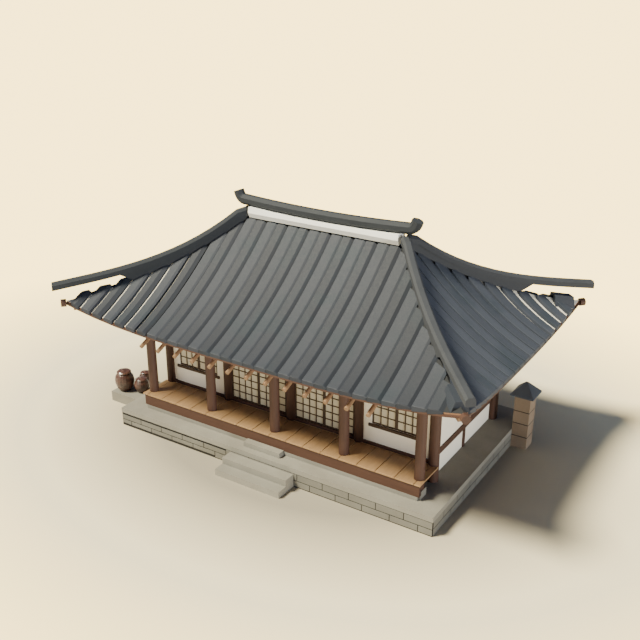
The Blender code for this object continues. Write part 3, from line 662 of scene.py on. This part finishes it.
def laySideSlope(name, side):
    joints, rows = strips["sideJoints"], []
    spans = [(-joints[0], joints[0])]
    for index in range(1, len(joints)):
        spans += [(joints[index - 1], joints[index]), (-joints[index], -joints[index - 1])]
    nearest = roofForm["ridgeHalf"] + strips["sideStart"]
    for number, (low, high) in enumerate(spans):
        centre = (low + high) / 2
        outer = side > 0 and centre > strips["sideOuter"]
        width = high - low - strips["outerGap" if outer else "sideGap"]
        # the side slopes are tinted lighter than the front as painted light, the left slope less so
        # as painted shade
        tint = strips["sidePaintedLightTints"][(number + 1) // 2 % 2]
        tint += strips["tintSpread"] * (vary(number + 7 * side) - 0.5)
        if side < 0:
            tint -= strips["leftPaintedShade"]
        start = lambda y: max(hipRun(y), hipRun(centre), nearest)
        end = sideEave(centre) + strips["overhang"]
        rows.append(layRow(centre, width, start, end, sidePlace, side, tint,
                           (strips["flankFront"], strips["flankRear"])))
    finishSlope(name, rows, sideTile)


layFrontSlope("front_tile_rows", -1)
layFrontSlope("rear_tile_rows", 1)
laySideSlope("left_tile_rows", -1)
laySideSlope("right_tile_rows", 1)
print("tile rows laid")

cornerRow = {"width": 0.5, "chamfer": 0.11, "from": 0.84, "past": -0.27, "lift": 0.05,
             "sink": 0.06, "tint": 0.35}


def layCornerRow(master, name, sideX, sideY):  # a wide row along the hip, at the eave's corner
    form, row = roofForm, ownCopy(master)
    length = math.hypot(form["run"], form["depth"])
    unitX, unitY = form["run"] / length, form["depth"] / length
    firstAt, lastAt = cornerRow["from"] * length, length + cornerRow["past"]
    half = cornerRow["width"] / 2
    for point in row.data.vertices:
        x, y, z = point.co
        across = half - (0.5 - x) if x > 0 else (x + 0.5) - half
        along = alongRow(y, firstAt, lastAt)
        t = along / length
        outX = form["ridgeHalf"] + unitX * along + unitY * across
        outY = unitY * along - unitX * across
        crease = slopeHeight(t, 1, 1)
        if z < 0:
            own = crease - cornerRow["sink"]
            if t < 1:
                own = min(frontHeight(outX, outY), sideHeight(outX, outY))
            height = min(own, crease) + z
        else:
            height = crease + z + cornerRow["lift"]
        point.co = (sideX * outX, sideY * outY, height)
    setTint(row, cornerRow["tint"])
    faceOutwards(row)
    row.name = name
    finishPiece(row, frontTile)


cornerMaster = tileMaster(cornerRow["chamfer"])
for sideX, sideY, place in ((1, -1, "right_front"), (-1, 1, "left_rear"), (1, 1, "right_rear")):
    layCornerRow(cornerMaster, "corner_tiles_" + place, sideX, sideY)
discard(rowMaster, cornerMaster)

dress(frontBedding, "front_roof_slope", "rear_roof_slope")
dress(sideBedding, "left_roof_slope", "right_roof_slope")
dress(ridgeClay, "ridge_cap")
# painted shade on the left hips, painted light on the right hips
dress(hipLeftPaintedShade, "hip_ridge_left_front", "hip_ridge_left_rear")
dress(hipRightPaintedLight, "hip_ridge_right_front", "hip_ridge_right_rear")
dress(chimneyTile, "chimney_cap")
dress(ridgePlaster, "ridge_base")
dress(timberAlong["x"], "eave_boards")
dress(rafterAlong["y"], "front_rafters", "rear_rafters")
dress(rafterAlong["x"], "left_rafters", "right_rafters")
print("roof dressed")

dress(timberAlong["x"], "veranda_beam")
dress(timberAlong["z"], *["front_column_%d" % k for k in range(1, 6)])
dress(timberFrame, "front_wall_frame", "rear_wall_frame")
dress(timberRail, "left_wall_rails", "right_wall_rails")
dress(sillWood, "front_window_sill_left", "front_window_sill_right")
dress(wallPlaster, "front_wall_left", "front_wall_right", "front_wall_above_doors", "left_wall",
      "right_wall", "rear_wall")

deck = {"pitch": 0.6, "jointsAside": 8, "gap": 0.018, "low": 1.109, "high": 1.154, "front": -2.99,
        "back": -1.8603, "end": 4.99, "ease": 0.006}


def layDeck():
    master, aside = masterBlock(deck["ease"]), deck["jointsAside"]
    joints = [deck["pitch"] * k for k in range(-aside, aside + 1)]
    edges = [-deck["end"]] + joints + [deck["end"]]
    boards = []
    for index, (low, high) in enumerate(zip(edges, edges[1:])):
        left = low if index == 0 else low + deck["gap"] / 2
        right = high if index == len(edges) - 2 else high - deck["gap"] / 2
        boards.append(fitCopy(master, (left, deck["front"], deck["low"]),
                              (right, deck["back"], deck["high"]), vary(index + 3)))
    discard(master)
    finishPiece(joinAs("deck_boards", boards), deckBoard, ["veranda_deck"])


layDeck()

plinth = {"half": 4.9, "front": -2.95, "back": -2.88, "low": 0.6175, "high": 0.744, "ease": 0.006}


def layPlinth():  # the low stone kerb that closes the space under the deck
    master = masterBlock(plinth["ease"])
    piece = fitCopy(master, (-plinth["half"], plinth["front"], plinth["low"]),
                    (plinth["half"], plinth["back"], plinth["high"]))
    discard(master)
    piece.name = "deck_plinth"
    finishPiece(piece, stoneSlab)


layPlinth()

lattice = {"bar": 0.034, "barDepth": 0.022, "setBack": 0.004, "lap": 0.002, "ease": 0.003,
           "paper": 0.004, "paperEdge": 0.01}
# a panel has one or two lights, each with its own columns and rows of panes
doorLook = {"stile": 0.042, "rail": 0.042, "lights": 1, "columns": 4, "rows": 7, "front": -1.82,
            "back": -1.775, "low": 1.266, "high": 3.034}
doorSpans = {"left_door_outer": (-2.234, -1.204), "left_door_inner": (-1.196, -0.166),
             "right_door_inner": (0.166, 1.196), "right_door_outer": (1.204, 2.234)}
windowLook = {"stile": 0.05, "rail": 0.045, "mullion": 0.095, "lights": 2, "columns": 3, "rows": 4}


def latticePanel(node, body, xs, ys, zs, look):
    # xs, ys, zs are the panel's limits; ys runs from the face that shows to the back
    master = masterBlock(lattice["ease"], 1)
    (left, right), (front, back), (low, high) = xs, ys, zs
    stile, rail, half = look["stile"], look["rail"], lattice["bar"] / 2
    inward = 1 if back > front else -1
    barFront = front + inward * lattice["setBack"]
    barBack = front + inward * lattice["barDepth"]
    bars = []

    def bar(lowX, highX, lowZ, highZ, near, far):
        bars.append(fitCopy(master, (lowX, min(near, far), lowZ), (highX, max(near, far), highZ)))

    bar(left, left + stile, low, high, front, back)
    bar(right - stile, right, low, high, front, back)
    bar(left + stile, right - stile, low, low + rail, front, back)
    bar(left + stile, right - stile, high - rail, high, front, back)
    lights = [(left + stile, right - stile)]
    if look["lights"] == 2:
        centre, aside = (left + right) / 2, look["mullion"] / 2
        bar(centre - aside, centre + aside, low + rail, high - rail, front, back)
        lights = [(left + stile, centre - aside), (centre + aside, right - stile)]
    for first, last in lights:
        for k in range(1, look["columns"]):
            x = first + (last - first) * k / look["columns"]
            bar(x - half, x + half, low + rail, high - rail, barFront, barBack)
        for k in range(1, look["rows"]):
            z = low + rail / 2 + (high - low - rail) * k / look["rows"]
            bar(first, last, z - half, z + half, barFront + inward * lattice["lap"], barBack)
    discard(master)
    finishPiece(joinAs(node + "_lattice", bars), latticeWood, [node], body)
    sheetFront = barBack - inward * lattice["lap"]
    sheetBack = sheetFront + inward * lattice["paper"]
    sheet = addBlock((left + stile / 2, min(sheetFront, sheetBack), low + rail / 2),
                     (right - stile / 2, max(sheetFront, sheetBack), high - rail / 2))
    choose(sheet, "FACE", lambda centre, normal: abs(normal.y) > 0.9)
    bpy.ops.mesh.inset(thickness=lattice["paperEdge"], depth=0)
    leaveEdit()
    sheet.name = node + "_paper"
    finishPiece(sheet, doorPaper, [node], body)


for node, xs in doorSpans.items():
    latticePanel(node, node + "_leaf", xs, (doorLook["front"], doorLook["back"]),
                 (doorLook["low"], doorLook["high"]), doorLook)
for node in ("front_window_left", "front_window_right", "rear_window_left", "rear_window_right"):
    low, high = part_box(node)
    faces = (low[1], high[1]) if node.startswith("front") else (high[1], low[1])
    latticePanel(node, "house", (low[0], high[0]), faces, (low[2], high[2]), windowLook)
print("timber, walls, doors and windows dressed")

# on the front the courses are lower than elsewhere, which leaves wide shadow joints above and
# below them, the widest left of the steps
stones = {"length": 0.866, "shortest": 0.3, "joint": 0.024, "proud": 0.008, "depth": 0.05,
          "ease": 0.006, "halfX": 5.6, "halfY": 3.4, "firsts": (0.5, 1.0), "recessTo": -0.9,
          "plain": [(0.0, 0.212), (0.236, 0.4565)], "front": [(0.03, 0.212), (0.236, 0.436)],
          "recess": [(0.085, 0.212), (0.236, 0.385)]}


def courseEdges(half, first):  # first is the length of the first stone, as a share of a whole one
    edges, at = [half], half - stones["length"] * first
    while at > -half + stones["shortest"] * stones["length"]:
        edges.append(at)
        at -= stones["length"]
    return edges + [-half]


def layStones():
    master = masterBlock(stones["ease"])
    blocks, gap, proud = [], stones["joint"] / 2, stones["proud"]

    def block(low, high):
        blocks.append(fitCopy(master, low, high, vary(len(blocks) + 1)))

    for course, first in enumerate(stones["firsts"]):
        for side in (-1, 1):
            face = side * (stones["halfY"] + proud)
            inner = side * (stones["halfY"] - stones["depth"])
            edges = courseEdges(stones["halfX"] + proud, first)
            for right, left in zip(edges, edges[1:]):
                kind = "plain"
                if side < 0:
                    kind = "recess" if right < stones["recessTo"] else "front"
                low, high = stones[kind][course]
                block((left + gap, min(face, inner), low), (right - gap, max(face, inner), high))
            low, high = stones["plain"][course]
            face = side * (stones["halfX"] + proud)
            inner = side * (stones["halfX"] - stones["depth"])
            edges = courseEdges(stones["halfY"] - stones["depth"], first)
            for right, left in zip(edges, edges[1:]):
                block((min(face, inner), left + gap, low), (max(face, inner), right - gap, high))
    discard(master)
    finishPiece(joinAs("platform_stones", blocks), stoneBlockPaintedShade)


layStones()
dress(mortar, "platform_base")
dress(stoneSlab, "platform_capstones", "lower_step", "upper_step", "stepping_stone", "jar_stand")
dress(floorPaper, "room_floor")

chimney = {"joints": [0.0, 0.42, 0.86, 1.28, 1.80], "gap": 0.026, "proud": 0.004, "ease": 0.008}


def layChimney():
    low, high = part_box("chimney_stack")
    joints, proud, half = chimney["joints"], chimney["proud"], chimney["gap"] / 2
    master = masterBlock(chimney["ease"])
    blocks = []
    for index, (bottom, top) in enumerate(zip(joints, joints[1:])):
        lift = 0 if index == 0 else half
        drop = 0 if index == len(joints) - 2 else half
        blocks.append(fitCopy(master, (low[0] - proud, low[1] - proud, bottom + lift),
                              (high[0] + proud, high[1] + proud, top - drop), vary(index + 11)))
    discard(master)
    finishPiece(joinAs("chimney_blocks", blocks), chimneyBlock)


layChimney()
dress(mortar, "chimney_stack")
dress(jarGlaze, "large_jar", "middle_jar", "small_jar")
print("stone, chimney and jars dressed")

studio = {"floorHalf": 400, "floorPaintedShade": (155, 147, 130), "floorFar": (246, 231, 193),
          "nearAt": 4.5, "farAt": 7.8, "stretch": (0.77, 1, 1), "bounce": (228, 218, 200),
          "glow": (3.2, 2.1, 0.35), "glowFrom": 8.4, "glowTo": 15.0,
          "sunStrength": 9.6, "sunAngle": 15, "sunAzimuth": -45, "sunElevation": 53.7,
          "sun": (1.0, 0.95, 0.75),
          "fillStrength": 2.2, "fillAngle": 6, "fillAzimuth": 72, "fillElevation": 2.5,
          "fill": (0.93, 0.97, 1.0), "lampReach": 30,
          "world": (178, 207, 255), "worldStrength": 0.25, "backdrop": (23.4, 17.3, 6.9)}


def makeFloor():  # a pale floor, painted darker near the house as shade and brighter away from it as painted light, both for the camera only; other rays see one even colour
    clearSelection()
    bpy.ops.mesh.primitive_plane_add(size=2 * studio["floorHalf"], location=(0, 0, 0))
    floor = bpy.context.object
    floor.name = "studio_floor"
    material, tree, shader, place = startMaterial("studio_floor")
    reach = tree.nodes.new("ShaderNodeVectorMath")
    reach.operation = "LENGTH"
    tree.links.new(stretched(tree, place, studio["stretch"]), reach.inputs[0])
    away = reach.outputs["Value"]
    seen = tree.nodes.new("ShaderNodeLightPath").outputs["Is Camera Ray"]
    # painted shade: the floor seen by the camera darkens towards the house
    paint = blendColour(tree, span(tree, away, studio["nearAt"], studio["farAt"], 0, 1),
                        colourOf(studio["floorPaintedShade"]), colourOf(studio["floorFar"]))
    tree.links.new(blendColour(tree, seen, colourOf(studio["bounce"]), paint),
                   shader.inputs["Base Color"])
    # painted light: a glow that only the camera sees, growing away from the house
    brightening = span(tree, away, studio["glowFrom"], studio["glowTo"], 0, 1)
    light = blendColour(tree, calc(tree, "MULTIPLY", brightening, seen), [0.0, 0.0, 0.0, 1.0],
                        [*studio["glow"], 1.0])
    tree.links.new(light, shader.inputs["Emission Color"])
    shader.inputs["Emission Strength"].default_value = 1.0
    shader.inputs["Roughness"].default_value = 1.0
    shader.inputs["Specular IOR Level"].default_value = 0.0
    floor.data.materials.append(material)


def makeSun(name, kind):
    # azimuth 0 shines along +Y, from the front; -45 comes from the front left
    data = bpy.data.lights.new(name, "SUN")
    data.energy, data.color = studio[kind + "Strength"], studio[kind]
    data.angle = math.radians(studio[kind + "Angle"])
    lamp = bpy.data.objects.new(name, data)
    bpy.context.scene.collection.objects.link(lamp)
    a, e = math.radians(studio[kind + "Azimuth"]), math.radians(studio[kind + "Elevation"])
    back = Vector((math.sin(a) * math.cos(e), -math.cos(a) * math.cos(e), math.sin(e)))
    lamp.rotation_euler = back.to_track_quat("Z", "Y").to_euler()
    lamp.location = back * studio["lampReach"]


def makeSky():  # a cool sky for the light, a pale backdrop where the camera looks past the floor
    world = bpy.context.scene.world or bpy.data.worlds.new("studio_world")
    bpy.context.scene.world = world
    world.use_nodes = True
    tree = world.node_tree
    sky = tree.nodes["Background"]
    seen = tree.nodes.new("ShaderNodeLightPath").outputs["Is Camera Ray"]
    tree.links.new(blendColour(tree, seen, colourOf(studio["world"]), [*studio["backdrop"], 1.0]),
                   sky.inputs[0])
    sky.inputs[1].default_value = studio["worldStrength"]


makeFloor()
makeSun("key_light", "sun")
makeSun("fill_light", "fill")
makeSky()

view = {"place": (13.624, -21.433, 14.551), "azimuth": 32.652, "elevation": 22.981, "lens": 50,
        "sensor": 36, "clipEnd": 2000}
lens = bpy.data.cameras.new("camera")
lens.lens, lens.sensor_width, lens.clip_end = view["lens"], view["sensor"], view["clipEnd"]
camera = bpy.data.objects.new("camera", lens)
bpy.context.scene.collection.objects.link(camera)
camera.location = view["place"]
camera.rotation_euler = (math.radians(90 - view["elevation"]), 0, math.radians(view["azimuth"]))
bpy.context.scene.camera = camera
print("studio ready")
